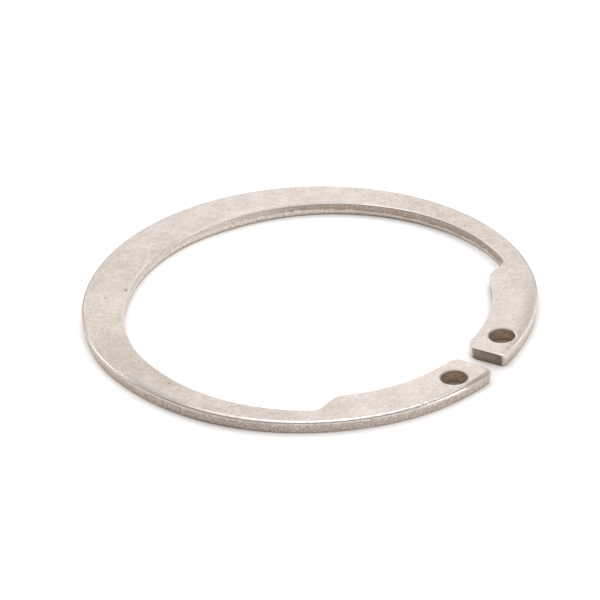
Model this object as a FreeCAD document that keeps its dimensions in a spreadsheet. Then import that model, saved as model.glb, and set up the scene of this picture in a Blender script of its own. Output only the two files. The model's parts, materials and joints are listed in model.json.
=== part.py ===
import FreeCAD, Part
import enum
import math
import os
import Sketcher

# A snap ring for a shaft's groove: one flat spring-steel stamping, open at a narrow gap.
# Its rim is a true circle. Two long lugs and the wide back bear on the bottom of the groove,
# and the sides between them taper, so that the ring bends evenly when pliers open it.
# Frame: origin at the rim's centre on the bottom face, +Z up, the gap towards -Y.

os.makedirs("parts", exist_ok=True)
doc = FreeCAD.newDocument("SnapRing")

# Driving dimensions, in millimetres and degrees. Angles are counted from the gap's middle.
SIZES = [
    ("outer_diameter", 40.0),       # the rim, free
    ("thickness", 1.2),             # the strip it is stamped from
    ("end_gap", 2.6),               # between the two lug ends, free
    ("lug_width", 3.95),            # radial width of a lug
    ("narrow_width", 1.85),         # radial width at the foot of the step, the thinnest place
    ("side_width", 2.76),           # radial width half way round a side
    ("back_width", 3.95),           # radial width of the back, opposite the gap
    ("lug_angle", 47.2),            # where a lug's inner edge ends
    ("foot_angle", 52.9),           # where its step meets the side
    ("side_angle", 100.0),          # where side_width is measured
    ("back_angle", 151.5),          # where the side runs into the back's own arc
    ("step_round", 1.6),            # both corners of the step, in plan
    ("lug_inner_round", 0.6),       # inner corner of a lug's end, in plan
    ("lug_outer_round", 0.45),      # outer corner of a lug's end, in plan
    ("plier_hole_diameter", 2.3),
    ("plier_hole_spacing", 7.88),   # centre to centre, across the gap, each midway across its lug
    ("punch_edge", 0.22),           # rounded top edge that the punch leaves all round
    ("hole_edge", 0.12),            # rounded mouth of a plier hole
    ("tumbled_edge", 0.07),         # bottom edge, its burr tumbled off
]

sheet = doc.addObject("Spreadsheet::Sheet", "sizes")
for row, (alias, value) in enumerate(SIZES, start=1):
    sheet.set(f"A{row}", alias)
    sheet.set(f"B{row}", str(value))
    sheet.setAlias(f"B{row}", alias)
doc.recompute()

body = doc.addObject("PartDesign::Body", "snap_ring")
body.Label = "snap_ring"


def origin_plane(role):
    return next(plane for plane in body.Origin.OriginFeatures if plane.Role == role)


def new_sketch(name):
    sketch = body.newObject("Sketcher::SketchObject", name)
    sketch.AttachmentSupport = [(origin_plane("XY_Plane"), "")]
    sketch.MapMode = "FlatFace"
    return sketch


def constrain(sketch, kind, *arguments, expression=None):
    index = sketch.addConstraint(Sketcher.Constraint(kind, *arguments))
    if expression:
        sketch.setExpression(f"Constraints[{index}]", expression)
    return index


class At(enum.IntEnum):
    """A curve's own points, as a sketch numbers them."""

    START = 1
    END = 2
    CENTRE = 3


class Axis(enum.IntEnum):
    """A sketch's own axes. The origin is the start of X."""

    X = -1
    Y = -2


# Points of the right half's outline, worked out from the sheet
rim_radius = sheet.outer_diameter / 2
half_gap = sheet.end_gap / 2
Z_UP = FreeCAD.Vector(0, 0, 1)


def polar(radius, angle):
    """A point at an angle from the gap's middle, on the +X side."""
    turn = math.radians(angle)
    return FreeCAD.Vector(radius * math.sin(turn), -radius * math.cos(turn), 0)


def beside_gap(radius):
    """The point of a circle about the origin where the lug's end cuts it."""
    return FreeCAD.Vector(half_gap, -math.sqrt(radius ** 2 - half_gap ** 2), 0)


lug_radius = rim_radius - sheet.lug_width
back_radius = rim_radius - sheet.back_width
rim_at_gap = beside_gap(rim_radius)
lug_at_gap = beside_gap(lug_radius)
lug_heel = polar(lug_radius, sheet.lug_angle)
step_foot = polar(rim_radius - sheet.narrow_width, sheet.foot_angle)
side_middle = polar(rim_radius - sheet.side_width, sheet.side_angle)
back_start = polar(back_radius, sheet.back_angle)
back_middle = polar(back_radius, 180)
rim_back = polar(rim_radius, 180)


def arc_about_origin(start, end):
    """The arc that runs counterclockwise about the origin from start to end."""
    circle = Part.Circle(FreeCAD.Vector(), Z_UP, start.Length)
    return Part.ArcOfCircle(circle, math.atan2(start.y, start.x), math.atan2(end.y, end.x))


# One half of the flat blank, from the gap round to the middle of the back
half = new_sketch("half_outline")
RIM, LUG_END, LUG, STEP, SIDE, BACK, MIDDLE = half.addGeometry(
    [
        arc_about_origin(rim_at_gap, rim_back),
        Part.LineSegment(rim_at_gap, lug_at_gap),
        arc_about_origin(lug_at_gap, lug_heel),
        Part.LineSegment(lug_heel, step_foot),
        Part.Arc(step_foot, side_middle, back_start),
        arc_about_origin(back_start, back_middle),
        Part.LineSegment(back_middle, rim_back),
    ],
    False,
)
for first, first_point, second, second_point in [
    (RIM, At.START, LUG_END, At.START),
    (LUG_END, At.END, LUG, At.START),
    (LUG, At.END, STEP, At.START),
    (STEP, At.END, SIDE, At.START),
    (SIDE, At.END, BACK, At.START),
    (BACK, At.END, MIDDLE, At.START),
    (MIDDLE, At.END, RIM, At.END),
    (RIM, At.CENTRE, Axis.X, At.START),
    (LUG, At.CENTRE, Axis.X, At.START),
    (BACK, At.CENTRE, Axis.X, At.START),
]:
    constrain(half, "Coincident", first, first_point, second, second_point)
constrain(half, "Vertical", LUG_END)
constrain(half, "PointOnObject", MIDDLE, At.START, Axis.Y)
constrain(
    half, "DistanceX", Axis.X, At.START, LUG_END, At.START, half_gap,
    expression="sizes.end_gap / 2",
)
constrain(half, "Radius", RIM, rim_radius, expression="sizes.outer_diameter / 2")

# Four spokes from the centre hold the inner edge: each has an angle and stops short by a width
SPOKES = [
    (lug_heel, "lug_angle", "lug_width", LUG, At.END),
    (step_foot, "foot_angle", "narrow_width", STEP, At.END),
    (side_middle, "side_angle", "side_width", SIDE, None),
    (back_start, "back_angle", "back_width", BACK, At.START),
]
for tip, angle, width, edge, edge_point in SPOKES:
    spoke = half.addGeometry(Part.LineSegment(FreeCAD.Vector(), tip), True)
    constrain(half, "Coincident", spoke, At.START, Axis.X, At.START)
    constrain(
        half, "Angle", spoke, math.atan2(tip.y, tip.x),
        expression=f"sizes.{angle} * 1 deg - 90 deg",
    )
    constrain(
        half, "Distance", spoke, tip.Length,
        expression=f"sizes.outer_diameter / 2 - sizes.{width}",
    )
    if edge_point is None:
        constrain(half, "PointOnObject", spoke, At.END, edge)
    else:
        constrain(half, "Coincident", spoke, At.END, edge, edge_point)

blank = body.newObject("PartDesign::Pad", "half_blank")
blank.Profile = half
blank.setExpression("Length", "sizes.thickness")
doc.recompute()

whole = body.newObject("PartDesign::Mirrored", "whole_blank")
whole.Originals = [blank]
whole.MirrorPlane = (origin_plane("YZ_Plane"), [""])
whole.Refine = True
body.Tip = whole
doc.recompute()


def edge_names(shape, belongs):
    return [f"Edge{number}" for number, edge in enumerate(shape.Edges, start=1) if belongs(edge)]


def ease_edges(kind, name, belongs, size_name, size):
    """Rounds or bevels the edges of the body's tip that belongs() picks."""
    base = body.Tip
    names = edge_names(base.Shape, belongs)
    eased = body.newObject(kind, name)
    eased.Base = (base, names)
    eased.setExpression(size_name, size)
    doc.recompute()


def round_edges(name, belongs, radius):
    ease_edges("PartDesign::Fillet", name, belongs, "Radius", radius)


def bevel_edges(name, belongs, leg):
    ease_edges("PartDesign::Chamfer", name, belongs, "Size", leg)


SAME = 1e-4


def upright_at(corner):
    """Picks the upright edges at a corner of the outline, on both sides of the ring."""

    def belongs(edge):
        points = [vertex.Point for vertex in edge.Vertexes]
        return len(points) == 2 and all(
            abs(abs(point.x) - corner.x) < SAME and abs(point.y - corner.y) < SAME for point in points
        )

    return belongs


# The outline's corners, in plan. A step's roundings share its slope.
step_limit = "min(sizes.step_round; 0.75 * (sizes.lug_width - sizes.narrow_width))"
round_edges("step_crests", upright_at(lug_heel), step_limit)
round_edges("step_feet", upright_at(step_foot), step_limit)
round_edges("lug_inner_corners", upright_at(lug_at_gap), "sizes.lug_inner_round")
round_edges("lug_outer_corners", upright_at(rim_at_gap), "sizes.lug_outer_round")

# A hole near each lug's end takes the tips of the pliers
plier_holes = new_sketch("plier_hole_centres")
hole_radius = sheet.plier_hole_diameter / 2
hole_across = sheet.plier_hole_spacing / 2
hole_reach = rim_radius - sheet.lug_width / 2
hole_down = math.sqrt(hole_reach ** 2 - hole_across ** 2)
RIGHT_HOLE, LEFT_HOLE = plier_holes.addGeometry(
    [
        Part.Circle(FreeCAD.Vector(hole_across, -hole_down, 0), Z_UP, hole_radius),
        Part.Circle(FreeCAD.Vector(-hole_across, -hole_down, 0), Z_UP, hole_radius),
    ],
    False,
)
for hole in (RIGHT_HOLE, LEFT_HOLE):
    constrain(
        plier_holes, "Radius", hole, hole_radius, expression="sizes.plier_hole_diameter / 2"
    )
constrain(plier_holes, "Symmetric", LEFT_HOLE, At.CENTRE, RIGHT_HOLE, At.CENTRE, Axis.Y)
constrain(
    plier_holes, "DistanceX", LEFT_HOLE, At.CENTRE, RIGHT_HOLE, At.CENTRE, 2 * hole_across,
    expression="sizes.plier_hole_spacing",
)
constrain(
    plier_holes, "Distance", Axis.X, At.START, RIGHT_HOLE, At.CENTRE, hole_reach,
    expression="sizes.outer_diameter / 2 - sizes.lug_width / 2",
)
blank_volume = body.Tip.Shape.Volume
punched = body.newObject("PartDesign::Pocket", "plier_holes")
punched.Profile = plier_holes
punched.Type = "ThroughAll"
punched.Reversed = True
doc.recompute()
if not punched.Shape.Volume < blank_volume:
    raise RuntimeError("the plier holes cut nothing")


def lies_at(edge, height):
    box = edge.BoundBox
    return abs(box.ZMin - height) < SAME and abs(box.ZMax - height) < SAME


def is_hole_mouth(edge):
    circle = edge.Curve
    return isinstance(circle, Part.Circle) and abs(circle.Radius - hole_radius) < SAME and edge.isClosed()


# Edges: the punch draws the top ones round, and tumbling takes the burr off the bottom ones
top = sheet.thickness
round_edges("punched_outline", lambda edge: lies_at(edge, top) and not is_hole_mouth(edge), "sizes.punch_edge")
round_edges("hole_mouths", lambda edge: lies_at(edge, top) and is_hole_mouth(edge), "sizes.hole_edge")
bevel_edges("tumbled_bottom", lambda edge: lies_at(edge, 0), "sizes.tumbled_edge")

for thing in doc.Objects:
    if "Invalid" in thing.State or "Error" in thing.State:
        raise RuntimeError(f"{thing.Name} failed: {thing.State}")
shape = body.Shape
if shape.isNull() or not shape.isValid() or len(shape.Solids) != 1:
    raise RuntimeError(f"{body.Label} is not one valid solid")
shape.exportStep(f"parts/{body.Label}.step")
print(f"{body.Label}: {shape.Volume:.2f} cubic mm, {shape.Area:.2f} square mm")
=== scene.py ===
import json
import math

import bpy
from mathutils import Matrix, Quaternion, Vector


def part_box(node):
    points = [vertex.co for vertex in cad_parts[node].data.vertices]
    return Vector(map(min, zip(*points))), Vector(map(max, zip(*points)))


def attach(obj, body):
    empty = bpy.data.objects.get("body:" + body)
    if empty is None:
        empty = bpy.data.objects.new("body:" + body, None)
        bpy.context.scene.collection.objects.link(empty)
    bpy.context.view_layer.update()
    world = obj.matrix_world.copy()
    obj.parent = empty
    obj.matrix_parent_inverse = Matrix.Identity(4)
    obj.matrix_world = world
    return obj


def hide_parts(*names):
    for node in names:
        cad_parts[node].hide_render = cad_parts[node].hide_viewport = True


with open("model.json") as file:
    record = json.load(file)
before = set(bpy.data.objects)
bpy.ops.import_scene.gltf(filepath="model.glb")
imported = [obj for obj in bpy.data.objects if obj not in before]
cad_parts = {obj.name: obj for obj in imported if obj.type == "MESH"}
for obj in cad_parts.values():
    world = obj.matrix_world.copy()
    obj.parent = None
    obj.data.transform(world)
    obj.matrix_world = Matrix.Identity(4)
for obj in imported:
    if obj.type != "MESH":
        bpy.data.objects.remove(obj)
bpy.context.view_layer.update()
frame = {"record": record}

# The blank: the ring is one stamping from a strip of stainless spring steel. Its rim is a circle,
# open at a narrow gap. Both lugs and the wide back share an inner radius, and the sides taper.
# It no longer lies on a true circle, as if it had been sprung.
MM = 0.001
mounts = {mount["name"]: mount for mount in frame["record"]["mounts"]}
low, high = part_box("snap_ring")
THICKNESS = high.z - low.z
RIM = high.x
SEAT = mounts["shaft_seat"]["dims"]["r_mm"] * MM
HALF_GAP = 1.3 * MM
NARROW_WIDTH = 1.85 * MM
SIDE_WIDTH = 2.76 * MM
# Angles are counted in degrees from the gap's middle: the end of a lug's inner edge, the foot of
# its step, where the side's width is measured, and where the side meets the back
LUG_ANGLE = 47.2
FOOT_ANGLE = 52.9
SIDE_ANGLE = 100
BACK_ANGLE = 151.5
# How much of each corner is cut back before it is closed round. An end has an outer and an inner
# corner.
STEP_CUT = 0.75 * MM
BACK_CUT = 1.2 * MM
NEAR_LUG_CUTS = (0.70 * MM, 0.75 * MM)
FAR_LUG_CUTS = (0.40 * MM, 1.15 * MM)
# How far from the middle of the gap each end's outer and inner corner lie
NEAR_CORNERS = (1.06 * MM, HALF_GAP)
FAR_CORNERS = (1.22 * MM, 0.80 * MM)
# The set: at which angle, over what spread, and how far outwards the metal has moved
SETS = [(2, 26, -0.38 * MM), (-26, 13, 0.10 * MM), (-119, 12, 0.16 * MM), (-140, 20, 0.14 * MM)]
# An arc has a knot at least this often, in degrees
KNOT_STEP = 12
# How long the handles at a closed corner are, as a share of the way across it
CORNER_REACH = 0.38
CENTRE = Vector((0, 0))


def around(radius, angle):
    """A point at an angle from the gap's middle, towards +X."""
    turn = math.radians(angle)
    return Vector((math.sin(turn), -math.cos(turn))) * radius


def bearing(point):
    """The angle at which a point lies, counted as around() counts it."""
    return math.degrees(math.atan2(point.x, -point.y))


def arc(centre, radius, first, last, cuts=(0, 0)):
    """Bezier knots of an arc, cut back at its ends. A knot is its place and its two handles."""
    way = math.copysign(1, last - first)
    first += way * math.degrees(cuts[0] / radius)
    last -= way * math.degrees(cuts[1] / radius)
    steps = math.ceil(abs(last - first) / KNOT_STEP)
    reach = 4 / 3 * math.tan(math.radians(abs(last - first)) / steps / 4) * radius
    knots = []
    for step in range(steps + 1):
        angle = first + (last - first) * step / steps
        place = centre + around(radius, angle)
        ahead = around(reach, angle + 90 * way)
        knots.append([place, place - ahead, place + ahead])
    return knots


def line(start, end, cuts):
    """Bezier knots of a straight run, cut back at its ends."""
    ahead = (end - start).normalized()
    first, last = start + ahead * cuts[0], end - ahead * cuts[1]
    reach = (last - first) / 3
    return [[first, first - reach, first + reach], [last, last - reach, last + reach]]


def joined(runs):
    """One list of knots. Where two runs were cut back, their handles meet at the lost corner."""
    for before, after in zip(runs, runs[1:] + runs[:1]):
        left, right = before[-1], after[0]
        reach = CORNER_REACH * (right[0] - left[0]).length
        left[2] = left[0] + (left[2] - left[0]).normalized() * reach
        right[1] = right[0] - (right[0] - right[1]).normalized() * reach
    return [knot for run in runs for knot in run]


def centre_of_circle(a, b, c):
    """The centre of the circle through three points."""
    ab, ac = b - a, c - a
    toward = Vector((
        ac.y * ab.length_squared - ab.y * ac.length_squared,
        ab.x * ac.length_squared - ac.x * ab.length_squared,
    ))
    return a + toward / (2 * (ab.x * ac.y - ab.y * ac.x))


def beside_gap(radius, across):
    """The angle at which a circle about the ring's centre lies across from the gap's middle."""
    return math.degrees(math.asin(across / radius))


def inner_edge(corners, outer_cut, inner_cut):
    """The runs from a lug's end to the middle of the back, on the +X side."""
    first, second = beside_gap(RIM, corners[0]), beside_gap(SEAT, corners[1])
    heel = around(SEAT, LUG_ANGLE)
    foot = around(RIM - NARROW_WIDTH, FOOT_ANGLE)
    back = around(SEAT, BACK_ANGLE)
    side = centre_of_circle(foot, around(RIM - SIDE_WIDTH, SIDE_ANGLE), back)
    cuts = (STEP_CUT, BACK_CUT)
    return [
        line(around(RIM, first), around(SEAT, second), (outer_cut, inner_cut)),
        arc(CENTRE, SEAT, second, LUG_ANGLE, (inner_cut, STEP_CUT)),
        line(heel, foot, (STEP_CUT, STEP_CUT)),
        arc(side, (foot - side).length, bearing(foot - side), bearing(back - side), cuts),
        arc(CENTRE, SEAT, BACK_ANGLE, 180, (BACK_CUT, BACK_CUT)),
    ]


def mirrored(run):
    return [[Vector((-point.x, point.y)) for point in knot] for knot in run]


def turned_round(run):
    return [[place, after, before] for place, before, after in reversed(run)]


def with_set(point):
    """Where a point of the true outline lies on this ring."""
    angle = bearing(point)
    moved = sum(
        out * math.exp(-((angle - middle) / spread) ** 2)
        for middle, spread, out in SETS if middle * angle > 0
    )
    return point * (1 + moved / point.length)


def add_loop(curve, knots):
    """Adds a closed loop to a curve."""
    spline = curve.splines.new("BEZIER")
    spline.bezier_points.add(len(knots) - 1)
    for point, (place, before, after) in zip(spline.bezier_points, knots):
        point.handle_left_type = point.handle_right_type = "FREE"
        point.co, point.handle_left, point.handle_right = (
            spot.to_3d() for spot in (place, before, after)
        )
    spline.use_cyclic_u = True


far_end, near_end = beside_gap(RIM, FAR_CORNERS[0]), beside_gap(RIM, NEAR_CORNERS[0])
rim_cuts = (FAR_LUG_CUTS[0], NEAR_LUG_CUTS[0])
rim = arc(CENTRE, RIM, far_end, 360 - near_end, rim_cuts)
near_half = [mirrored(run) for run in inner_edge(NEAR_CORNERS, *NEAR_LUG_CUTS)]
far_half = [turned_round(run) for run in reversed(inner_edge(FAR_CORNERS, *FAR_LUG_CUTS))]
outline = joined([rim, *near_half, *far_half])

blank = bpy.data.curves.new("blank", "CURVE")
blank.dimensions = "3D"
add_loop(blank, [[with_set(point) for point in knot] for knot in outline])

# The plier holes: one is punched right through each lug, and takes a tip of the pliers that open
# the ring. Each has drifted a little from its true place.
HOLE_RADIUS = mounts["plier_holes"]["dims"]["hole_r_mm"] * MM
HOLE_SPACING = mounts["plier_holes"]["dims"]["spacing_x_mm"] * MM
HOLES_Y = mounts["plier_holes"]["pos_m"][1]
HOLE_CENTRES = [
    Vector((-HOLE_SPACING / 2, HOLES_Y)) + Vector((-0.04, -0.17)) * MM,
    Vector((HOLE_SPACING / 2, HOLES_Y)) + Vector((-0.04, 0.10)) * MM,
]
for centre in HOLE_CENTRES:
    add_loop(blank, arc(centre, HOLE_RADIUS, 360, 0)[:-1])

# The edges: the punch draws the rim's top edge round, shears the wall smooth for a little way and
# breaks it off rough below. The inner edge and the holes stay sharper. Tumbling takes the burr
# off the bottom.
RIM_ROLL = 0.36 * MM
RIM_BREAK = 0.24 * MM
SHARP_ROLL = 0.07 * MM
SHARP_BREAK = 0.05 * MM
# Below these heights the wall draws back into the metal, by DRAW_BACK at the bottom. The rim's
# torn band starts there too.
RIM_TEAR = 0.88 * MM
SEAT_TEAR = 0.50 * MM
DRAW_BACK = 0.12 * MM
# How deep the torn band's relief is, and how large its grains are
TEAR_DEPTH = 0.04 * MM
TEAR_SIZE = 0.25 * MM
# The wall runs on for this much of each face, so that the edges meet the faces level
FLAT_STRIP = 0.03 * MM
WALL_LEVELS = 10
POINT_SPACING = 0.12 * MM
# Points of the walls and the faces that lie this close are one
JOIN_WITHIN = 0.002 * MM
# How far the rim's edge is drawn round, by angle: 0 is the sharp edge and 1 is the full roll
ROLL_SHARES = [
    (-180, 0.20), (-140, 0.12), (-118, 0.17), (-100, 0.27), (-85, 0.54), (-70, 0.72), (-22, 0.72),
    (-12, 1.0), (-3, 1.0), (3, 0.32), (12, 0.25), (30, 0.16), (60, 0.2), (180, 0.2),
]
# The same for the inner edge, which is drawn round along the far side and the back
SEAT_SHARES = [
    (-180, 0.33), (-165, 0.25), (-148, 0.03), (60, 0), (85, 0.22), (110, 0.3), (180, 0.33),
]
# A hole's edge is even all round
HOLE_SHARE = 0.17
# Between these shares of the rim's radius, one edge's roll gives way to the other's
SEAT_SIDE, RIM_SIDE = 0.92, 0.985


def edge_section(name, roll, broken, tear):
    """The wall's section, upwards: x is outwards from the metal, y is height."""
    wall = THICKNESS - RIM_ROLL - RIM_BREAK
    corners = [
        Vector((-broken - FLAT_STRIP, 0)),
        *(knot[0] for knot in arc(Vector((-broken, broken)), broken, 0, 90)),
        *(Vector((0, RIM_BREAK + wall * k / WALL_LEVELS)) for k in range(1, WALL_LEVELS)),
        *(knot[0] for knot in arc(Vector((-roll, THICKNESS - roll)), roll, 90, 180)),
        Vector((-roll - FLAT_STRIP, THICKNESS)),
    ]
    for corner in corners:
        corner.x -= DRAW_BACK * max(0, 1 - corner.y / tear)
    curve = bpy.data.curves.new(name, "CURVE")
    curve.dimensions = "3D"
    spline = curve.splines.new("POLY")
    spline.points.add(len(corners) - 1)
    for point, place in zip(spline.points, corners):
        point.co = (place.x, -place.y, 0, 1)
    section = bpy.data.objects.new(name, curve)
    bpy.context.scene.collection.objects.link(section)
    return section


def add(tree, kind, inputs=None, **settings):
    """A new node's first output. Its inputs are values, or other nodes' sockets, to be linked."""
    node = tree.nodes.new(kind)
    for name, value in settings.items():
        setattr(node, name, value)
    for name, value in (inputs or {}).items():
        if isinstance(value, bpy.types.NodeSocket):
            tree.links.new(value, node.inputs[name])
        else:
            node.inputs[name].default_value = value
    return node.outputs[0]


def calculate(tree, operation, first, second=0.0):
    return add(tree, "ShaderNodeMath", {0: first, 1: second}, operation=operation)


def calculate_vector(tree, operation, inputs):
    return add(tree, "ShaderNodeVectorMath", inputs, operation=operation)


def spread(tree, value, low, high, first=0.0, last=1.0):
    """value, mapped so that low gives first and high gives last."""
    inputs = {"Value": value, "From Min": low, "From Max": high, "To Min": first, "To Max": last}
    return add(tree, "ShaderNodeMapRange", inputs)


def blend_values(tree, share, first, second):
    return add(tree, "ShaderNodeMix", {0: share, 2: first, 3: second}, data_type="FLOAT")


def round_the_ring(tree, parts, levels):
    """A value that follows the angle from the gap: levels lists angles with the values there."""
    turn = calculate(tree, "ARCTAN2", parts["X"], calculate(tree, "MULTIPLY", parts["Y"], -1.0))
    share = spread(tree, turn, -math.pi, math.pi)
    curve = add(tree, "ShaderNodeFloatCurve", {"Value": share}).node
    points = curve.mapping.curves[0].points
    while len(points) < len(levels):
        points.new(0.5, 0.5)
    for point, (angle, level) in zip(points, levels):
        point.location = ((angle + 180) / 360, level)
        point.handle_type = "AUTO_CLAMPED"
    curve.mapping.update()
    return curve.outputs[0]


stamping = bpy.data.node_groups.new("stamping", "GeometryNodeTree")
for name, kind in [
    ("Blank", "Geometry"), ("Rolled Section", "Object"), ("Sharp Section", "Object"),
    ("Thickness", "Float"), ("Rolled Inset", "Float"), ("Sharp Inset", "Float"),
    ("Rolled Bottom Inset", "Float"), ("Sharp Bottom Inset", "Float"), ("Point Spacing", "Float"),
    ("Rim Radius", "Float"), ("Tear Depth", "Float"), ("Tear Size", "Float"),
    ("Face Finish", "Material"), ("Wall Finish", "Material"), ("Bore Finish", "Material"),
]:
    stamping.interface.new_socket(name, in_out="INPUT", socket_type=f"NodeSocket{kind}")
stamping.interface.new_socket("Ring", in_out="OUTPUT", socket_type="NodeSocketGeometry")
given = stamping.nodes.new("NodeGroupInput").outputs


def outline_share():
    """The share of the full roll along the outline."""
    place = add(stamping, "GeometryNodeInputPosition")
    parts = add(stamping, "ShaderNodeSeparateXYZ", {"Vector": place}).node.outputs
    reach = calculate_vector(stamping, "LENGTH", {0: place}).node.outputs["Value"]
    inner = calculate(stamping, "MULTIPLY", given["Rim Radius"], SEAT_SIDE)
    outer = calculate(stamping, "MULTIPLY", given["Rim Radius"], RIM_SIDE)
    at_rim = spread(stamping, reach, inner, outer)
    return blend_values(
        stamping, at_rim, round_the_ring(stamping, parts, SEAT_SHARES),
        round_the_ring(stamping, parts, ROLL_SHARES),
    )


def with_value(curve, name, value, kind):
    """The curve with a named value at its points."""
    inputs = {"Geometry": curve, "Name": name, "Value": value}
    return add(
        stamping, "GeometryNodeStoreNamedAttribute", inputs, data_type=kind, domain="POINT"
    )


def marked(curve, share):
    """The curve with its share of the full roll and the way out of the metal at its points."""
    curve = with_value(curve, "roll_share", share, "FLOAT")
    way_out = add(stamping, "GeometryNodeInputNormal")
    return with_value(curve, "way_out", way_out, "FLOAT_VECTOR")


def stored(name, kind):
    return add(stamping, "GeometryNodeInputNamedAttribute", {"Name": name}, data_type=kind)


def swept(curve, section):
    shape = add(stamping, "GeometryNodeObjectInfo", {"Object": section}).node.outputs["Geometry"]
    return add(stamping, "GeometryNodeCurveToMesh", {"Curve": curve, "Profile Curve": shape})


def moved(shape, inputs):
    return add(stamping, "GeometryNodeSetPosition", {"Geometry": shape, **inputs})


def wall_along(curve):
    """The wall along a curve, and the curves on which the top and bottom faces start."""
    share = stored("roll_share", "FLOAT")
    way_out = stored("way_out", "FLOAT_VECTOR")
    place = add(stamping, "GeometryNodeInputPosition")
    index = add(stamping, "GeometryNodeInputIndex")
    sharp = add(
        stamping, "GeometryNodeSampleIndex",
        {"Geometry": swept(curve, given["Sharp Section"]), "Value": place, "Index": index},
        data_type="FLOAT_VECTOR", domain="POINT",
    )
    between = add(
        stamping, "ShaderNodeMix", {0: share, 4: sharp, 5: place}, data_type="VECTOR"
    ).node.outputs[1]
    wall = moved(swept(curve, given["Rolled Section"]), {"Position": between})
    tear_scale = calculate(stamping, "DIVIDE", 1.0, given["Tear Size"])
    tears = add(stamping, "ShaderNodeTexNoise", {"Scale": tear_scale})
    height = add(stamping, "ShaderNodeSeparateXYZ", {"Vector": place}).node.outputs["Z"]
    above = spread(stamping, height, 0.5 * RIM_BREAK, RIM_BREAK)
    below = spread(
        stamping, height, THICKNESS - 2 * RIM_ROLL, THICKNESS - 1.2 * RIM_ROLL, 1.0, 0.0
    )
    depth = calculate(stamping, "MULTIPLY", calculate(stamping, "MULTIPLY", above, below), tears)
    depth = calculate(stamping, "MULTIPLY", depth, given["Tear Depth"])
    inwards = calculate(stamping, "MULTIPLY", depth, -1.0)
    torn = calculate_vector(stamping, "SCALE", {0: way_out, "Scale": inwards})
    wall = moved(wall, {"Offset": torn})
    wall = add(stamping, "GeometryNodeFlipFaces", {"Mesh": wall})
    borders = []
    for sharp_inset, rolled_inset in [
        ("Sharp Inset", "Rolled Inset"), ("Sharp Bottom Inset", "Rolled Bottom Inset"),
    ]:
        inset = blend_values(stamping, share, given[sharp_inset], given[rolled_inset])
        inwards = calculate(stamping, "MULTIPLY", inset, -1.0)
        offset = calculate_vector(stamping, "SCALE", {0: way_out, "Scale": inwards})
        borders.append(moved(curve, {"Offset": offset}))
    return wall, *borders


def together(*parts):
    joint = stamping.nodes.new("GeometryNodeJoinGeometry")
    for part in parts:
        stamping.links.new(part, joint.inputs[0])
    return joint.outputs[0]


def finished(shape, finish):
    return add(
        stamping, "GeometryNodeSetMaterial", {"Geometry": shape, "Material": given[finish]}
    )


sampled = add(
    stamping, "GeometryNodeResampleCurve",
    {"Curve": given["Blank"], "Length": given["Point Spacing"]}, mode="LENGTH",
)
upright = add(stamping, "GeometryNodeSetCurveNormal", {"Curve": sampled}, mode="Z_UP")
index = add(stamping, "GeometryNodeInputIndex")
is_hole = add(
    stamping, "FunctionNodeCompare", {2: index, 3: 0}, data_type="INT", operation="GREATER_THAN"
)
parted = add(
    stamping, "GeometryNodeSeparateGeometry", {"Geometry": upright, "Selection": is_hole},
    domain="CURVE",
).node
hole_wall, hole_top, hole_bottom = wall_along(marked(parted.outputs[0], HOLE_SHARE))
rim_wall, rim_top, rim_bottom = wall_along(marked(parted.outputs[1], outline_share()))
bottom = add(stamping, "GeometryNodeFillCurve", {"Curve": together(hole_bottom, rim_bottom)})
bottom = add(stamping, "GeometryNodeFlipFaces", {"Mesh": bottom})
rise = add(stamping, "ShaderNodeCombineXYZ", {"Z": given["Thickness"]})
top = add(stamping, "GeometryNodeFillCurve", {"Curve": together(hole_top, rim_top)})
top = add(stamping, "GeometryNodeTransform", {"Geometry": top, "Translation": rise})
bores = finished(hole_wall, "Bore Finish")
walls = finished(rim_wall, "Wall Finish")
faces = finished(together(bottom, top), "Face Finish")
faces = add(stamping, "GeometryNodeSetShadeSmooth", {"Geometry": faces, "Shade Smooth": False})
closed = add(
    stamping, "GeometryNodeMergeByDistance",
    {"Geometry": together(bores, walls, faces), "Distance": JOIN_WITHIN},
)
solid = add(stamping, "GeometryNodeRealizeInstances", {"Geometry": closed})
end = stamping.nodes.new("NodeGroupOutput")
stamping.links.new(solid, end.inputs[0])

# The faces: barrel-tumbled stainless steel, a warm satin grey with fine grain. The rim is scuffed
# in places, partly painted dark reflection, and a few small pits are left from the strip.
FACE_LIGHT = (0.87, 0.79, 0.735, 1)
FACE_DARK = (0.60, 0.52, 0.455, 1)
# How light the faces' colour is, by angle: darker on the left
FACE_TONES = [
    (-180, 0.45), (-160, 0.38), (-145, 0.50), (-130, 0.44), (-122, 0.12), (-108, 0.16), (-90, 0.34),
    (-55, 0.46), (-25, 0.74), (15, 0.64), (50, 0.56), (85, 0.42), (120, 0.70), (140, 0.66),
    (180, 0.45),
]
# The strip was rolled along +X -Y, at this turn from +X, and its streaks keep to that way
STRIP_TURN = math.radians(-53.6)
ALONG_STRIP = (0.15, 1.0, 1.0)
# The grain, coarse to fine: its size, its detail, how much it lightens and darkens, its stretch
FACE_GRAINS = [
    (1.8 * MM, 3.0, 0.26, None), (0.6 * MM, 2.0, 0.2, None),
    (0.21 * MM, 3.0, 0.40, None), (0.16 * MM, 2.0, 0.16, ALONG_STRIP),
]
# How much the rim is scuffed and darkened by painted dark reflection, by angle, and how wide
# that band is, as a share of the widest
RIM_SCUFFS_AND_SHADE = [
    (-180, 0), (-113, 0), (-106, 0.6), (-99, 1), (-93, 0.85), (-88, 0.3), (-84, 0), (-28, 0),
    (-22, 0.3), (-15, 0.5), (-8, 0.5), (-3, 0.1), (6, 0.6), (14, 0.95), (28, 0.8), (50, 0.2),
    (80, 0), (180, 0),
]
SCUFF_AND_SHADE_WIDTHS = [
    (-180, 0.38), (-20, 0.38), (-10, 0.30), (0, 0.72), (20, 0.85), (60, 0.6), (180, 0.4),
]
WIDEST_SCUFF_AND_SHADE = 2 * MM
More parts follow.
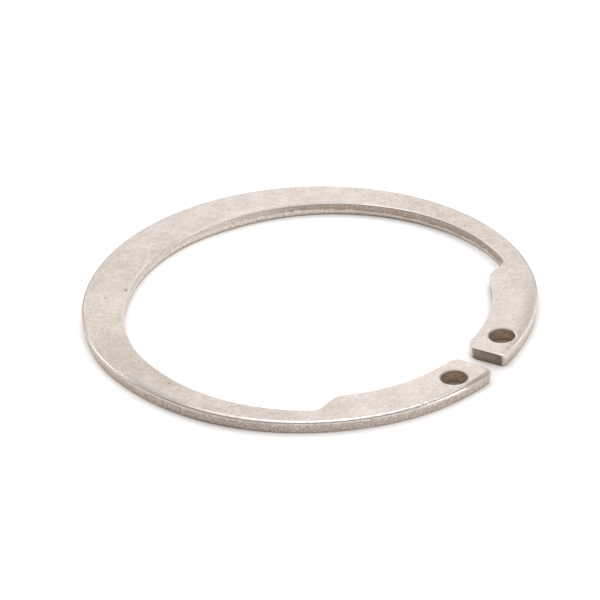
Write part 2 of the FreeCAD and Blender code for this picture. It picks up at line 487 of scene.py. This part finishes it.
# The scuffs and painted dark reflections are blue-grey on the near side and brown on the far side
SCUFF_AND_SHADE_GREY = (0.47, 0.445, 0.44, 1)
SCUFF_AND_SHADE_BROWN = (0.53, 0.465, 0.42, 1)
# The band fades out towards its inner side, between these shares of its width
SCUFF_AND_SHADE_FADE = (1.0, 0.35)
SCUFF_AND_SHADE_PATCHES = 0.3 * MM
# Each pit's x, y and radius, in millimetres
PITS = [(-7.6, 14.68, 0.20), (-7.45, 14.75, 0.15), (-17.83, 2.2, 0.14), (-16.35, 6.55, 0.12)]
# A pit's stain starts and is full at these shares of its radius
PIT_START, PIT_FULL = 1.3, 0.4
PIT_STRENGTH = 0.6
PIT_BROWN = (0.235, 0.185, 0.15, 1)
# The faces' roughness, how large its patches are, and the relief's grains and depth
SATIN_ROUGHNESS = (0.34, 0.50)
SATIN_PATCHES = 0.5 * MM
SATIN_GRAIN = 0.22 * MM
SATIN_DEPTH = 0.025 * MM


def new_metal(name):
    material = bpy.data.materials.new(name)
    material.use_nodes = True
    shader = material.node_tree.nodes["Principled BSDF"]
    shader.inputs["Metallic"].default_value = 1
    return material, material.node_tree, shader


def noise(tree, size, detail=3.0, roughness=0.55, stretch=None):
    """Noise with features about as large as size, in metres on the object."""
    place = add(tree, "ShaderNodeTexCoord").node.outputs["Object"]
    if stretch:
        turn = (0, 0, -STRIP_TURN)
        place = add(tree, "ShaderNodeMapping", {"Vector": place, "Rotation": turn})
        place = add(tree, "ShaderNodeMapping", {"Vector": place, "Scale": stretch})
    inputs = {"Vector": place, "Scale": 1 / size, "Detail": detail, "Roughness": roughness}
    return add(tree, "ShaderNodeTexNoise", inputs)


def blend(tree, share, first, second):
    """Two colours mixed: each a socket or a colour."""
    inputs = {0: share, 6: first, 7: second}
    return add(tree, "ShaderNodeMix", inputs, data_type="RGBA").node.outputs[2]


def plug(tree, shader, colour, roughness, height, depth):
    """Sets a metal's colour, roughness and relief. depth is in metres."""
    tree.links.new(colour, shader.inputs["Base Color"])
    tree.links.new(roughness, shader.inputs["Roughness"])
    bump = add(tree, "ShaderNodeBump", {"Height": height, "Distance": depth, "Strength": 1.0})
    tree.links.new(bump, shader.inputs["Normal"])


def distance(tree, place, centre):
    """How far a place lies from an upright line through centre."""
    flat = calculate_vector(tree, "MULTIPLY", {0: place, 1: (1, 1, 0)})
    return calculate_vector(tree, "DISTANCE", {0: flat, 1: centre}).node.outputs["Value"]


def tumbled_colour(tree):
    """The faces' colour, with its grain, scuffs and painted dark reflection at the rim, and pits.
    """
    place = add(tree, "ShaderNodeTexCoord").node.outputs["Object"]
    parts = add(tree, "ShaderNodeSeparateXYZ", {"Vector": place}).node.outputs
    tone = round_the_ring(tree, parts, FACE_TONES)
    for size, detail, strength, stretch in FACE_GRAINS:
        grain = noise(tree, size, detail, 0.65, stretch)
        grain = spread(tree, grain, 0.25, 0.75, -strength, strength)
        tone = calculate(tree, "ADD", tone, grain)
    colour = blend(tree, tone, FACE_DARK, FACE_LIGHT)
    reach = distance(tree, place, (0, 0, 0))
    width = calculate(tree, "MULTIPLY", round_the_ring(tree, parts, SCUFF_AND_SHADE_WIDTHS), WIDEST_SCUFF_AND_SHADE)
    from_rim = calculate(tree, "SUBTRACT", RIM, reach)
    near_edge = spread(tree, calculate(tree, "DIVIDE", from_rim, width), *SCUFF_AND_SHADE_FADE)
    patchy = spread(tree, noise(tree, SCUFF_AND_SHADE_PATCHES), 0.3, 0.55, 0.3, 1.0)
    # Scuffs and painted dark reflection near the rim's edge
    scuff_and_shade = calculate(tree, "MULTIPLY", near_edge, round_the_ring(tree, parts, RIM_SCUFFS_AND_SHADE))
    scuff_and_shade_colour = blend(tree, spread(tree, parts["X"], -3 * MM, 0), SCUFF_AND_SHADE_GREY, SCUFF_AND_SHADE_BROWN)
    colour = blend(tree, calculate(tree, "MULTIPLY", scuff_and_shade, patchy), colour, scuff_and_shade_colour)
    for x, y, radius in PITS:
        away = distance(tree, place, (x * MM, y * MM, 0))
        start, full = PIT_START * radius * MM, PIT_FULL * radius * MM
        pit = spread(tree, away, start, full, 0.0, PIT_STRENGTH)
        colour = blend(tree, pit, colour, PIT_BROWN)
    return colour


satin, tree, shader = new_metal("tumbled_satin")
satin_rough = spread(tree, noise(tree, SATIN_PATCHES), 0.3, 0.7, *SATIN_ROUGHNESS)
satin_grain = noise(tree, SATIN_GRAIN, 4.0, 0.7)
plug(tree, shader, tumbled_colour(tree), satin_rough, satin_grain, SATIN_DEPTH)

# The walls: the same steel where the punch went through it. It left a polished roll above, a
# smooth sheared band, and a torn band below. The cut ends at the gap are dark. Their colours also
# hold painted light and shade, and a painted sheen on the roll.
POLISHED_SHEEN = (0.97, 0.92, 0.87, 1)
DULL_ROLL = (0.46, 0.40, 0.365, 1)
# Where the roll is polished, this share of the polished colour lies over the faces' own colour.
# That colour is lighter than the steel: a painted sheen that brightens the roll's highlights.
SHEEN_SHARE = 0.65
# The bands' colours. Some are the shaded and lit ends between which painted light and shade blend
RIM_BURNISHED = (0.55, 0.485, 0.43, 1)
SEAT_BURNISHED_SHADED = (0.30, 0.235, 0.19, 1)
SEAT_LIGHT = (0.74, 0.655, 0.595, 1)
TORN_DARK = (0.33, 0.265, 0.225, 1)
TORN_LIGHT = (0.72, 0.645, 0.585, 1)
TORN_BRIGHT = (0.78, 0.70, 0.64, 1)
SEAT_TORN = (0.62, 0.535, 0.47, 1)
SEAT_SPECKS = (0.95, 0.88, 0.82, 1)
BORE_DARK = (0.72, 0.62, 0.53, 1)
BORE_LIGHT = (0.98, 0.87, 0.77, 1)
BORE_POLISH_AND_SHEEN = 0.3
CUT_OFF = (0.235, 0.185, 0.15, 1)
CUT_OFF_LIGHT = (0.31, 0.25, 0.205, 1)
# How far the rim's roll is polished, by angle. This also sets its colour between the dull one and
# the painted sheen, and so where painted highlights fall
RIM_POLISH_AND_SHEEN = [
    (-180, 0.1), (-136, 0.05), (-128, 0.8), (-120, 1.0), (-108, 1.0), (-103, 0.2), (-92, 0.15),
    (-86, 0.6), (-78, 0.8), (-50, 1.0), (-20, 1.0), (-14, 0.8), (-9, 0.05), (-5, 0.25), (-2, 0.4),
    (2, 1.0), (25, 1.0), (40, 0.2), (180, 0.1),
]
# The same for the inner edge's roll
SEAT_POLISH_AND_SHEEN = [
    (-180, 0.85), (95, 0.85), (108, 0.7), (118, 0.3), (145, 0.45), (160, 0.85), (180, 0.85),
]
# How far down the roll the polish and its painted sheen reach, by angle
POLISH_AND_SHEEN_DEPTHS = [
    (-180, 0.6), (-95, 0.5), (-80, 0.55), (-64, 0.7), (-54, 1.0), (0, 1.0), (10, 0.7), (180, 0.8),
]
# Painted light and shade on the rim's wall, by angle: lighter on the picture's right
WALL_LIGHT_AND_SHADE = [
    (-180, 0.4), (-120, 0.25), (-98, 0.12), (-75, 0.05), (-57, 0.22), (-40, 0.3), (-25, 0.35),
    (-8, 0.55), (0, 0.6), (15, 0.65), (40, 0.6), (180, 0.4),
]
# Painted light and shade on the inner edge's smooth band, and at which share of the height it
# ends, by angle
SEAT_LIGHT_AND_SHADE = [
    (-180, 0.7), (-60, 0.7), (-20, 0.9), (20, 0.9), (45, 0.7), (60, 0.15), (95, 0.12), (122, 0.12),
    (140, 0.4), (160, 0.6), (180, 0.7),
]
SEAT_TEARS = [(-180, 0.5), (80, 0.36), (104, 0.38), (118, 0.44), (145, 0.52), (180, 0.5)]
# The tear's border wanders up and down by this much, in waves of this size, and is this soft to
# either side
TEAR_WANDER = 0.09 * MM
TEAR_WAVES = 0.7 * MM
TEAR_BLUR = 0.06 * MM
# Handling has dulled the polish in patches, on the left of the front alone. Along x and y: where
# that starts to end, and where it has ended
WORN_X, WORN_Y = (-8 * MM, 0), (2 * MM, 5 * MM)
WORN_PATCHES = 0.45 * MM
WORN_POLISH = 0.65
# How large the stains, the inner edge's grains and the torn band's specks are
STAIN_SIZE = 0.3 * MM
SEAT_GRAIN = 0.17 * MM
SPECK_SIZE = 0.2 * MM
# How much the inner edge's grain lightens and darkens
SEAT_GRAIN_TONE = 0.35
# Painted shade: the inner edge is dark at its foot, where it meets the floor, up to these heights
FOOT_SHADE_HEIGHTS = (0.05 * MM, 0.28 * MM)
FOOT_SHADE = 0.35
# Between these distances from the ring's centre, the inner edge's finish gives way to the rim's
SEAT_FINISH, RIM_FINISH = 18.6 * MM, 18.8 * MM
# The cut face of an end: how squarely it faces the gap, and how far from the gap's middle it stops
FACES_GAP, SQUARE_TO_GAP = 0.90, 0.985
PAST_END, AT_END = 3.5 * MM, 3 * MM
GAP_CENTRE = (0, (RIM + SEAT) / -2, 0)
# Roughness of the smooth band, the torn band, the dull and polished roll, and the roll of the
# lugs' inner edges and holes
SHEARED_ROUGH, TORN_ROUGH = 0.40, 0.6
DULL_ROUGH, POLISHED_ROUGH = 0.45, 0.25
LUG_ROUGH = 0.55
# Along y, the lugs' share of the inner edge ends between these
LUGS_END = (-10 * MM, -8 * MM)
# On the left of the front the roll is at least this rough. Along x and y: where that starts, and
# where it is full
LEFT_ROUGH = 0.42
LEFT_X, FRONT_Y = (-17.2 * MM, -18.8 * MM), (-1 * MM, -3 * MM)
# How deep the walls' relief is, how large its grains are, and how strong it is on the smooth
# band, the torn band, the dull roll and the polished roll
WALL_DEPTH = 0.05 * MM
WALL_GRAIN = 0.2 * MM
SHEARED_RELIEF, TORN_RELIEF = 0.2, 1.0
DULL_RELIEF, POLISHED_RELIEF = 0.5, 0.1


def sheared_metal(name, is_bore):
    """The walls' or the bores' finish, with a painted sheen, and painted light and shade on walls.
    """
    material, tree, shader = new_metal(name)
    place = add(tree, "ShaderNodeTexCoord").node.outputs["Object"]
    parts = add(tree, "ShaderNodeSeparateXYZ", {"Vector": place}).node.outputs
    at_rim = spread(tree, distance(tree, place, (0, 0, 0)), SEAT_FINISH, RIM_FINISH)
    wander = spread(tree, noise(tree, TEAR_WAVES), 0.3, 0.7, -TEAR_WANDER, TEAR_WANDER)
    level = calculate(tree, "ADD", parts["Z"], wander)
    seat_tear = calculate(tree, "MULTIPLY", round_the_ring(tree, parts, SEAT_TEARS), THICKNESS)
    tear = blend_values(tree, at_rim, seat_tear, RIM_TEAR)
    torn = spread(tree, calculate(tree, "SUBTRACT", tear, level), -TEAR_BLUR, TEAR_BLUR)

    worn = spread(tree, noise(tree, WORN_PATCHES, 2.0), 0.35, 0.55, WORN_POLISH, 1.0)
    worn = calculate(tree, "MAXIMUM", worn, spread(tree, parts["X"], *WORN_X))
    worn = calculate(tree, "MAXIMUM", worn, spread(tree, parts["Y"], *WORN_Y))
    rim_polish_and_sheen = calculate(tree, "MULTIPLY", round_the_ring(tree, parts, RIM_POLISH_AND_SHEEN), worn)
    seat_polish_and_sheen = BORE_POLISH_AND_SHEEN if is_bore else round_the_ring(tree, parts, SEAT_POLISH_AND_SHEEN)
    polish_and_sheen = blend_values(tree, at_rim, seat_polish_and_sheen, rim_polish_and_sheen)
    roll_share = add(tree, "ShaderNodeAttribute", attribute_name="roll_share").node.outputs["Fac"]
    roll = blend_values(tree, roll_share, SHARP_ROLL, RIM_ROLL)
    roll = calculate(tree, "MULTIPLY", roll, round_the_ring(tree, parts, POLISH_AND_SHEEN_DEPTHS))
    from_top = calculate(tree, "SUBTRACT", THICKNESS, parts["Z"])
    rolled = spread(tree, calculate(tree, "DIVIDE", from_top, roll), 1.0, 0.6)

    stain = spread(tree, noise(tree, STAIN_SIZE), 0.3, 0.7)
    if is_bore:
        colour = blend(tree, stain, BORE_DARK, BORE_LIGHT)
    else:
        wall_shading = round_the_ring(tree, parts, WALL_LIGHT_AND_SHADE)
        seat_grain = noise(tree, SEAT_GRAIN, 3.0, 0.7)
        seat_grain = spread(tree, seat_grain, 0.3, 0.7, -SEAT_GRAIN_TONE, SEAT_GRAIN_TONE)
        # Painted light and shade on the inner edge, with its grain
        seat_grain_and_shading = calculate(tree, "ADD", round_the_ring(tree, parts, SEAT_LIGHT_AND_SHADE), seat_grain)
        seat = blend(tree, seat_grain_and_shading, SEAT_BURNISHED_SHADED, SEAT_LIGHT)
        # The rim's bands, each between a shaded and a lit copy, by the painted light and shade
        rim = blend(tree, wall_shading, RIM_BURNISHED, SEAT_LIGHT)
        rim_light = blend(tree, wall_shading, TORN_LIGHT, TORN_BRIGHT)
        rim_dark = blend(tree, wall_shading, TORN_DARK, RIM_BURNISHED)
        light = blend(tree, at_rim, SEAT_SPECKS, rim_light)
        dark = blend(tree, at_rim, SEAT_TORN, rim_dark)
        speck = spread(tree, noise(tree, SPECK_SIZE, 3.0, 0.7), 0.34, 0.66)
        # Painted shade at the inner edge's foot, in the torn band's dark colour
        foot = spread(tree, parts["Z"], *FOOT_SHADE_HEIGHTS, FOOT_SHADE, 1.0)
        foot = calculate(tree, "MAXIMUM", at_rim, foot)
        rough_metal = blend(tree, foot, TORN_DARK, blend(tree, speck, dark, light))
        colour = blend(tree, torn, blend(tree, at_rim, seat, rim), rough_metal)
        facing = add(tree, "ShaderNodeAttribute", attribute_name="way_out").node.outputs["Vector"]
        across = add(tree, "ShaderNodeSeparateXYZ", {"Vector": facing}).node.outputs["X"]
        end = spread(tree, calculate(tree, "ABSOLUTE", across), FACES_GAP, SQUARE_TO_GAP)
        beside = spread(tree, distance(tree, place, GAP_CENTRE), PAST_END, AT_END)
        cut = calculate(tree, "MULTIPLY", end, beside)
        colour = blend(tree, cut, colour, blend(tree, stain, CUT_OFF, CUT_OFF_LIGHT))
    # Painted sheen: the polished roll's colour, lighter than the steel
    polished_sheen = blend(tree, SHEEN_SHARE, tumbled_colour(tree), POLISHED_SHEEN)
    colour = blend(tree, rolled, colour, blend(tree, polish_and_sheen, DULL_ROLL, polished_sheen))

    drawn = blend_values(tree, polish_and_sheen, DULL_ROUGH, POLISHED_ROUGH)
    past_lugs = spread(tree, parts["Y"], *LUGS_END)
    seat_drawn = blend_values(tree, past_lugs, LUG_ROUGH, drawn)
    drawn = blend_values(tree, at_rim, seat_drawn, drawn)
    at_left = spread(tree, parts["X"], *LEFT_X, 0.0, LEFT_ROUGH)
    in_front = spread(tree, parts["Y"], *FRONT_Y)
    drawn = calculate(tree, "MAXIMUM", drawn, calculate(tree, "MULTIPLY", at_left, in_front))
    rough = blend_values(tree, torn, SHEARED_ROUGH, TORN_ROUGH)
    rough = blend_values(tree, rolled, rough, drawn)
    relief = blend_values(tree, torn, SHEARED_RELIEF, TORN_RELIEF)
    roll_relief = blend_values(tree, polish_and_sheen, DULL_RELIEF, POLISHED_RELIEF)
    relief = blend_values(tree, rolled, relief, roll_relief)
    grain = calculate(tree, "MULTIPLY", noise(tree, WALL_GRAIN, 4.0, 0.7), relief)
    plug(tree, shader, colour, rough, grain, WALL_DEPTH)
    return material


# The stamped ring: the blank with its edges, holes and finishes, as one piece. It lies flat on
# its bottom face.
ring = bpy.data.objects.new("stamped_ring", blank)
bpy.context.scene.collection.objects.link(ring)
sections = [
    edge_section("rolled_section", RIM_ROLL, RIM_BREAK, RIM_TEAR),
    edge_section("sharp_section", SHARP_ROLL, SHARP_BREAK, SEAT_TEAR),
]
stamp = ring.modifiers.new("stamping", "NODES")
stamp.node_group = stamping
values = {
    "Rolled Section": sections[0],
    "Sharp Section": sections[1],
    "Thickness": THICKNESS,
    "Rolled Inset": RIM_ROLL + FLAT_STRIP,
    "Sharp Inset": SHARP_ROLL + FLAT_STRIP,
    "Rolled Bottom Inset": RIM_BREAK + FLAT_STRIP + DRAW_BACK,
    "Sharp Bottom Inset": SHARP_BREAK + FLAT_STRIP + DRAW_BACK,
    "Point Spacing": POINT_SPACING,
    "Rim Radius": RIM,
    "Tear Depth": TEAR_DEPTH,
    "Tear Size": TEAR_SIZE,
    "Face Finish": satin,
    "Wall Finish": sheared_metal("sheared_wall", False),
    "Bore Finish": sheared_metal("punched_bore", True),
}
for item in stamping.interface.items_tree:
    if item.name in values:
        stamp[item.identifier] = values[item.name]
depsgraph = bpy.context.evaluated_depsgraph_get()
mesh = bpy.data.meshes.new_from_object(ring.evaluated_get(depsgraph), depsgraph=depsgraph)
for thing in (ring, *sections):
    bpy.data.objects.remove(thing)
ring = bpy.data.objects.new("stamped_ring", mesh)
bpy.context.scene.collection.objects.link(ring)
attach(ring, "root")
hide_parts("snap_ring")

# The floor: white paper. The ring's soft shadow on it is painted into its colour and glow, from
# how open the sky is above it, lighter where the lamps reach and dark under the holes. It glows a
# little where it is seen, so that it stays white, and less so close to the metal.
FLOOR_HALF = 1.0
PAPER = (0.85, 0.85, 0.85, 1)
PAPER_ROUGH = 0.9
PAPER_GLOW = 0.5
SHADOW_REACH = 5 * MM
SHADOW_SAMPLES = 16
SHADOW_DARK = (0.42, 0.35, 0.305, 1)
SHADOW_LIT = (0.72, 0.66, 0.63, 1)
# Painted shade on the floor seen through the holes
SHADE_IN_HOLES = (0.30, 0.25, 0.21, 1)
# How far from a hole's edge the painted shade on the floor under it ends
PAST_HOLE, CLEAR_OF_HOLE = 0.15 * MM, 0.3 * MM
# The level way to the picture's right
RIGHT = Vector((0.5938, -0.8046, 0))
# Along that way the shadow is lit on the right and on the far left outside the ring, and on the
# left inside it: where that starts, and where it is full
LIT_RIGHT, LIT_LEFT = (-12 * MM, 4 * MM), (-8 * MM, -17 * MM)
LIT_LEFT_SHARE = 0.9
LIT_INSIDE = (6 * MM, -10 * MM)
# The shadow inside the ring starts, and is full, this far from the ring's centre
INSIDE = (18 * MM, 17.5 * MM)
# The painted shadow is lit in the gap too, and a little painted shade stays at the gap's middle
GAP_FLOOR = (0, -18.2 * MM, 0)
LIT_GAP = (4 * MM, 2 * MM)
DARK_GAP = (1 * MM, 4 * MM)
DARK_GAP_SHADE = 0.55
# How open the sky is where the shadow is darkest, unlit and lit, and where the paper is white
# again, outside and inside the ring
DARKEST = (0.25, 0.0)
WHITE = (0.98, 0.88)
floor_mesh = bpy.data.meshes.new("floor")
floor_corners = [
    (-FLOOR_HALF, -FLOOR_HALF, 0), (FLOOR_HALF, -FLOOR_HALF, 0),
    (FLOOR_HALF, FLOOR_HALF, 0), (-FLOOR_HALF, FLOOR_HALF, 0),
]
floor_mesh.from_pydata(floor_corners, [], [(0, 1, 2, 3)])
floor = bpy.data.objects.new("floor", floor_mesh)
bpy.context.scene.collection.objects.link(floor)
paper = bpy.data.materials.new("white_paper")
paper.use_nodes = True
tree = paper.node_tree
shader = tree.nodes["Principled BSDF"]
shader.inputs["Roughness"].default_value = PAPER_ROUGH
rays = add(tree, "ShaderNodeLightPath").node.outputs
seen = calculate(tree, "MAXIMUM", rays["Is Camera Ray"], rays["Is Glossy Ray"])
seen = calculate(tree, "MAXIMUM", seen, rays["Is Transmission Ray"])
open_sky = add(
    tree, "ShaderNodeAmbientOcclusion", {"Distance": SHADOW_REACH}, samples=SHADOW_SAMPLES
).node.outputs["AO"]
place = add(tree, "ShaderNodeTexCoord").node.outputs["Object"]
outside_holes = 1.0
for centre in HOLE_CENTRES:
    away = distance(tree, place, centre.to_3d())
    outside = spread(tree, away, HOLE_RADIUS + PAST_HOLE, HOLE_RADIUS + CLEAR_OF_HOLE)
    outside_holes = calculate(tree, "MULTIPLY", outside, outside_holes)
rightwards = calculate_vector(tree, "DOT_PRODUCT", {0: place, 1: RIGHT}).node.outputs["Value"]
inside = spread(tree, distance(tree, place, (0, 0, 0)), *INSIDE)
lit_right = spread(tree, rightwards, *LIT_RIGHT)
lit_left = spread(tree, rightwards, *LIT_LEFT, 0.0, LIT_LEFT_SHARE)
lit_outside = calculate(tree, "MAXIMUM", lit_right, lit_left)
lit = blend_values(tree, inside, lit_outside, spread(tree, rightwards, *LIT_INSIDE))
from_gap = distance(tree, place, GAP_FLOOR)
lit = calculate(tree, "MAXIMUM", lit, spread(tree, from_gap, *LIT_GAP))
darkest_at = blend_values(tree, lit, *DARKEST)
white_at = blend_values(tree, inside, *WHITE)
shade = spread(tree, open_sky, darkest_at, white_at)
shade = calculate(tree, "MULTIPLY", shade, outside_holes)
gap_shade = spread(tree, from_gap, *DARK_GAP, DARK_GAP_SHADE, 1.0)
shade = calculate(tree, "MULTIPLY", shade, gap_shade)
shadow = blend(tree, lit, SHADOW_DARK, SHADOW_LIT)
shadow = blend(tree, outside_holes, SHADE_IN_HOLES, shadow)
tree.links.new(blend(tree, shade, shadow, PAPER), shader.inputs["Base Color"])
glow = calculate(tree, "MULTIPLY", calculate(tree, "MULTIPLY", seen, shade), PAPER_GLOW)
shader.inputs["Emission Color"].default_value = (1, 1, 1, 1)
tree.links.new(glow, shader.inputs["Emission Strength"])
floor_mesh.materials.append(paper)

# The light: a dim white room with a soft box above, a wide one behind, one at either side of that
# and one on the right. Places and sizes are in metres, and the last figure is the radiance.
ROOM_LIGHT = 0.3
# The level way that the camera looks, and straight up
AHEAD = Vector((0.8046, 0.5938, 0))
UP = Vector((0, 0, 1))


def soft_box(name, place, facing, level, size, radiance):
    """A rectangular lamp that faces one way, with its width along level."""
    lamp = bpy.data.lights.new(name, "AREA")
    lamp.shape = "RECTANGLE"
    lamp.size, lamp.size_y = size
    lamp.energy = radiance * math.pi * size[0] * size[1]
    box = bpy.data.objects.new(name, lamp)
    side = level.cross(facing)
    turn = Matrix((level, -side, -facing)).transposed().to_4x4()
    box.matrix_world = Matrix.Translation(place) @ turn
    bpy.context.scene.collection.objects.link(box)


def facing_ring(bearing_right):
    """The level way from a bearing back to the ring, and the level way across it."""
    turn = math.radians(bearing_right)
    facing = -(math.cos(turn) * AHEAD + math.sin(turn) * RIGHT)
    return facing, facing.cross(UP)


def spot(ahead, right, up):
    return ahead * AHEAD + right * RIGHT + up * UP


world = bpy.data.worlds.new("room")
bpy.context.scene.world = world
world.use_nodes = True
room = world.node_tree.nodes["Background"].inputs
room["Color"].default_value = (1, 1, 1, 1)
room["Strength"].default_value = ROOM_LIGHT
soft_box("top_box", spot(0, -0.04, 0.6), -UP, RIGHT, (0.67, 0.97), 1.3)
soft_box("back_box", spot(0.9, 0, 0.35), -AHEAD, RIGHT, (1.1, 0.70), 0.90)
soft_box("left_box", spot(0.54, -0.72, 0.547), *facing_ring(-53), (0.55, 0.645), 1.7)
soft_box("right_box", spot(0.55, 0.71, 0.517), *facing_ring(52), (0.42, 0.585), 1.6)
soft_box("key_box", spot(-0.26, 0.86, 0.34), *facing_ring(107), (0.55, 0.42), 2.2)

# The camera: it looks down on the ring from the near lug's side through a long lens, and is
# rolled a little to the left. Angles are in degrees, and its distance is in metres.
AZIMUTH = -53.57
ELEVATION = 31.22
ROLL_LEFT = 2.099
CAMERA_DISTANCE = 0.4
AIM = Vector((0.933, 1.883, 0)) * MM
SENSOR_WIDTH = 36
# The lens's length, in widths of the sensor
LENS_SHARE = 7.5433
NEAREST = 0.01
azimuth, elevation = math.radians(AZIMUTH), math.radians(ELEVATION)
back = Vector((
    math.sin(azimuth) * math.cos(elevation),
    -math.cos(azimuth) * math.cos(elevation),
    math.sin(elevation),
))
camera = bpy.data.objects.new("camera", bpy.data.cameras.new("camera"))
camera.data.sensor_width = SENSOR_WIDTH
camera.data.lens = LENS_SHARE * SENSOR_WIDTH
camera.data.clip_start = NEAREST
camera.location = AIM + back * CAMERA_DISTANCE
camera.rotation_mode = "QUATERNION"
roll = Quaternion((0, 0, 1), math.radians(-ROLL_LEFT))
camera.rotation_quaternion = (-back).to_track_quat("-Z", "Y") @ roll
bpy.context.scene.collection.objects.link(camera)
bpy.context.scene.camera = camera
bpy.context.scene.view_settings.view_transform = "Standard"
